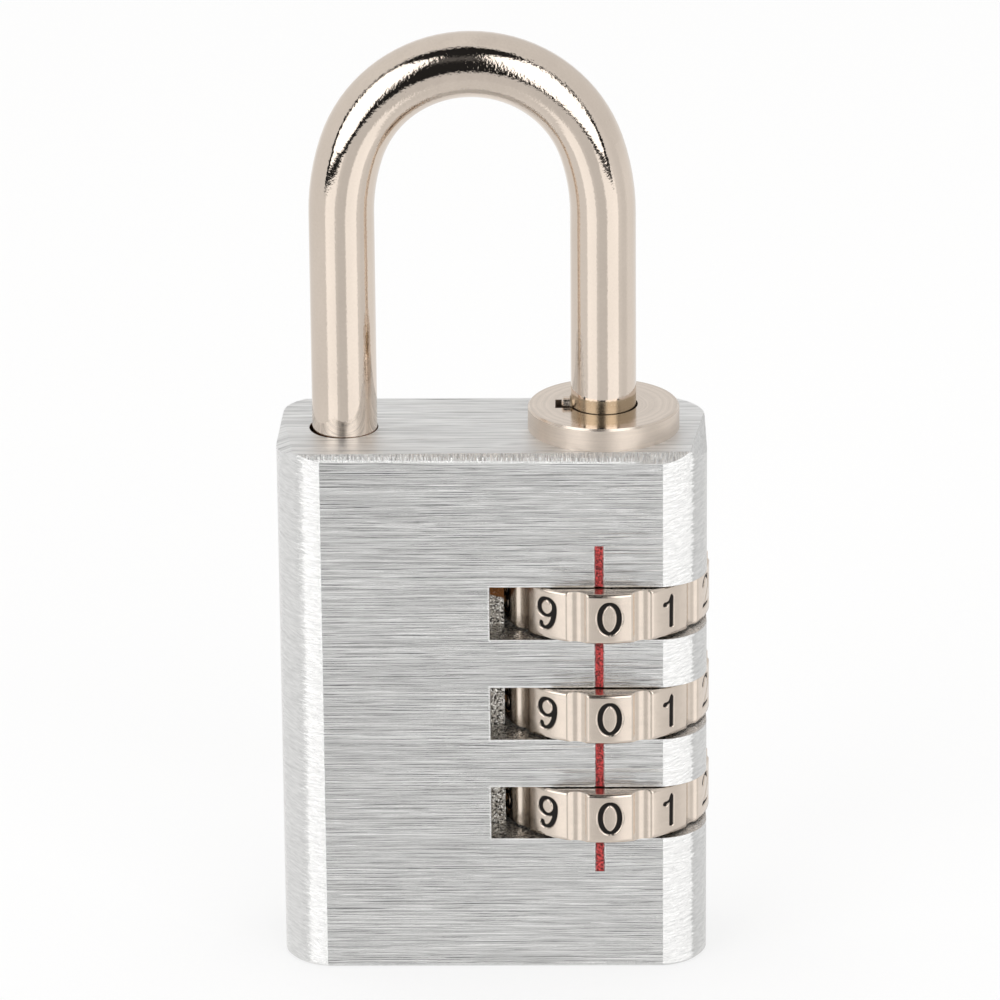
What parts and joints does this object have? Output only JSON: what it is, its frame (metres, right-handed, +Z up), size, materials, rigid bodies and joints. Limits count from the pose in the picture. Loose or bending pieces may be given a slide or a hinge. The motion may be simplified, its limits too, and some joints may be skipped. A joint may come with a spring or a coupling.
{
  "type": "combination padlock",
  "caption": "Small combination padlock with a solid aluminium body, a bent bar shackle and number dials that turn in open slots.",
  "frame": {"origin": "bottom centre of the body, on the face that it stands on", "axes": "+Z up along the shackle legs, the front face with the dial figures looks along -Y, the long leg and the dials are towards +X"},
  "size_m": [0.0302, 0.0148, 0.0675],
  "materials": {
    "body_aluminium": "brushed along X",
    "shackle_nickel": "satin nickel plate on steel",
    "collar_nickel": "turned nickel plate",
    "dial_nickel": "satin nickel plate with black filled figures",
    "sleeve_brass": "turned brass",
    "pin_steel": "plated steel pin",
    "washer_steel": "stamped steel",
    "spring_steel": "drawn spring wire",
    "spring_bronze": "rolled bronze strip"
  },
  "bodies": {
    "lock_body": {"body": "body_aluminium", "collar": "collar_nickel", "washer_top": "washer_steel", "washer_upper": "washer_steel", "washer_lower": "washer_steel", "spring_seat": "washer_steel", "reset_spring": "spring_steel", "detent_spring_top": "spring_bronze", "detent_spring_middle": "spring_bronze", "detent_spring_bottom": "spring_bronze"},
    "shackle": {"shackle": "shackle_nickel", "reset_peg": "pin_steel", "retaining_clip": "washer_steel", "lug_pin_top": "pin_steel", "lug_pin_middle": "pin_steel", "lug_pin_bottom": "pin_steel"},
    "dial_top": {"dial_top": "dial_nickel", "sleeve_top": "sleeve_brass"},
    "dial_middle": {"dial_middle": "dial_nickel", "sleeve_middle": "sleeve_brass"},
    "dial_bottom": {"dial_bottom": "dial_nickel", "sleeve_bottom": "sleeve_brass"}
  },
  "joints": [
    {"name": "shackle_lift", "type": "slide", "parent": "lock_body", "child": "shackle", "axis": [0, 0, 1], "range_m": [0, 0.0075]},
    {"name": "dial_top_turn", "type": "hinge", "parent": "lock_body", "child": "dial_top", "pos_m": [0.0078, 0, 0.02704], "axis": [0, 0, 1], "continuous": true, "deforming": ["detent_spring_top"]},
    {"name": "dial_middle_turn", "type": "hinge", "parent": "lock_body", "child": "dial_middle", "pos_m": [0.0078, 0, 0.01949], "axis": [0, 0, 1], "continuous": true, "deforming": ["detent_spring_middle"]},
    {"name": "dial_bottom_turn", "type": "hinge", "parent": "lock_body", "child": "dial_bottom", "pos_m": [0.0078, 0, 0.01195], "axis": [0, 0, 1], "continuous": true, "deforming": ["detent_spring_bottom"]}
  ]
}
